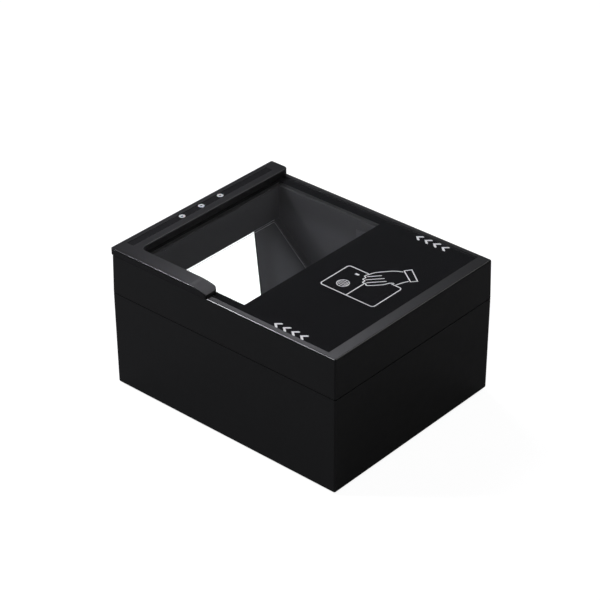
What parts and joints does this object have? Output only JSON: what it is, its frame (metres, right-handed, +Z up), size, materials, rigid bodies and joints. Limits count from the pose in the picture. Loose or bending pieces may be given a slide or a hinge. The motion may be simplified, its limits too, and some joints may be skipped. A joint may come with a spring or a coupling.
{
  "type": "desktop passport reader",
  "caption": "Desktop reader for passports and ID pages: a tall case with a flat glass window, an L-shaped page stop and a folded camera path.",
  "frame": {"origin": "centre of the case's footprint, on the surface that its rubber feet stand on", "axes": "+Z up, +X to the right as the user faces it, +Y away from the user along the longer side, towards the bar with the indicators"},
  "size_m": [0.161, 0.1966, 0.1093],
  "materials": {
    "shell_black": "fine moulded texture, satin black",
    "stop_black": "fine moulded texture, satin black",
    "strip_gloss": "glossy smoked black",
    "lens_milk": "milky, polished dome",
    "cover_glass": "clear, polished",
    "mask_black": "black back-print, seen through the glass",
    "gasket_foam": "closed-cell foam",
    "coil_copper": "bare copper track",
    "shield_steel": "tinned sheet",
    "chamber_grey": "fine moulded texture, dark grey",
    "mirror_silver": "front-surface mirror",
    "spring_steel": "spring strip",
    "bracket_aluminium": "brushed sheet",
    "board_green": "solder mask",
    "board_white": "white solder mask",
    "sensor_glass": "cover glass over the sensor",
    "lens_black": "black moulding",
    "barrel_black": "black anodised",
    "lens_glass": "coated lens",
    "ribbon_white": "flat ribbon",
    "led_white": "LED package",
    "cover_smoke": "smoked acrylic",
    "cable_grey": "cable jacket",
    "chip_black": "chip moulding",
    "sink_aluminium": "black anodised",
    "can_aluminium": "can",
    "buzzer_black": "moulding",
    "header_ivory": "nylon",
    "panel_black": "powder coat",
    "port_steel": "nickel plated",
    "tongue_white": "nylon",
    "inlet_black": "nylon",
    "pin_nickel": "nickel plated",
    "switch_black": "nylon",
    "terminal_brass": "tinned brass",
    "rocker_black": "satin black",
    "foot_rubber": "soft rubber",
    "screw_black": "black zinc",
    "insert_brass": "knurled brass",
    "screw_zinc": "zinc plated",
    "label_silver": "blank polyester label",
    "print_white": "white back-print"
  },
  "bodies": {
    "case": {"lower_housing": "shell_black", "upper_housing": "shell_black", "document_stop": "stop_black", "indicator_strip": "strip_gloss", "indicator_lens_left": "lens_milk", "indicator_lens_middle": "lens_milk", "indicator_lens_right": "lens_milk", "indicator_board": "board_green", "indicator_leds": "led_white", "indicator_cable": "cable_grey", "cover_glass": "cover_glass", "glass_mask": "mask_black", "glass_gasket": "gasket_foam", "antenna_board": "board_green", "antenna_coil": "coil_copper", "reader_module": "shield_steel", "antenna_cable": "cable_grey", "scan_chamber": "chamber_grey", "fold_mirror": "mirror_silver", "mirror_clips": "spring_steel", "camera_bracket": "bracket_aluminium", "camera_board": "board_green", "image_sensor": "sensor_glass", "lens_holder": "lens_black", "lens_barrel": "barrel_black", "front_lens": "lens_glass", "camera_ribbon": "ribbon_white", "left_light_board": "board_white", "right_light_board": "board_white", "left_light_leds": "led_white", "right_light_leds": "led_white", "left_light_cover": "cover_smoke", "right_light_cover": "cover_smoke", "light_cables": "cable_grey", "main_board": "board_green", "processor": "chip_black", "memory_chips": "chip_black", "heat_sink": "sink_aluminium", "capacitors": "can_aluminium", "buzzer": "buzzer_black", "board_headers": "header_ivory", "connector_panel": "panel_black", "usb_port": "port_steel", "usb_tongue": "tongue_white", "dc_inlet": "inlet_black", "dc_pin": "pin_nickel", "switch_housing": "switch_black", "switch_terminals": "terminal_brass", "foot_front_left": "foot_rubber", "foot_front_right": "foot_rubber", "foot_back_left": "foot_rubber", "foot_back_right": "foot_rubber", "housing_screws": "screw_black", "threaded_inserts": "insert_brass", "inner_screws": "screw_zinc", "stop_screws": "screw_black", "panel_screws": "screw_black", "rating_label": "label_silver"},
    "rocker": {"power_rocker": "rocker_black"}
  },
  "joints": [
    {"name": "power_rocker_tilt", "type": "hinge", "parent": "case", "child": "rocker", "pos_m": [0.022, 0.0932, 0.019], "axis": [1, 0, 0], "range_deg": [0, 20]}
  ]
}
